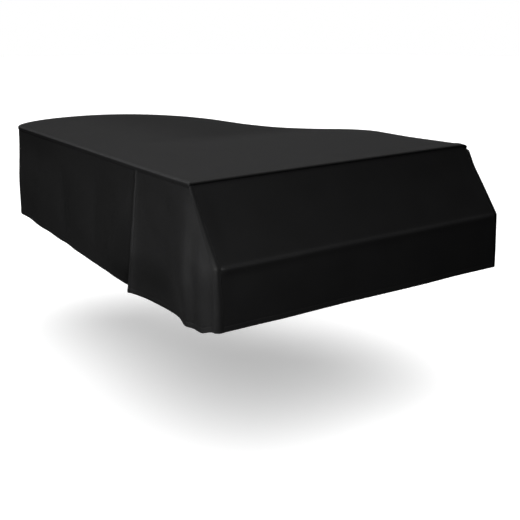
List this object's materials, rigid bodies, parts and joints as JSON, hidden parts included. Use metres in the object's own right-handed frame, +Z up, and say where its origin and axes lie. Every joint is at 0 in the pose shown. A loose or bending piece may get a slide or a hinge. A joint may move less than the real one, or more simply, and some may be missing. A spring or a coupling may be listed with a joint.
{
  "type": "grand piano cover",
  "caption": "Fitted cloth cover for a grand piano: a top cut to the lid's outline, hanging skirts, a sloping front and side flaps. Open underneath.",
  "frame": {"origin": "on the underside of the top panel, midway across and 0.75 m behind the lid's front edge, where it lies on the piano's lid", "axes": "+X towards the treble side, +Y towards the tail, +Z up"},
  "size_m": [1.619, 2.3812, 0.5552],
  "materials": {
    "top_cloth": "matt black woven cloth, laid flat",
    "skirt_cloth": "matt black woven cloth with soft upright folds",
    "front_cloth": "matt black woven cloth with one soft crease",
    "flap_cloth": "matt black woven cloth, hemmed"
  },
  "bodies": {
    "root": {"top_panel": "top_cloth", "rear_skirt": "skirt_cloth", "front_panel": "front_cloth", "left_side_flap": "flap_cloth", "right_side_flap": "flap_cloth"}
  },
  "joints": []
}
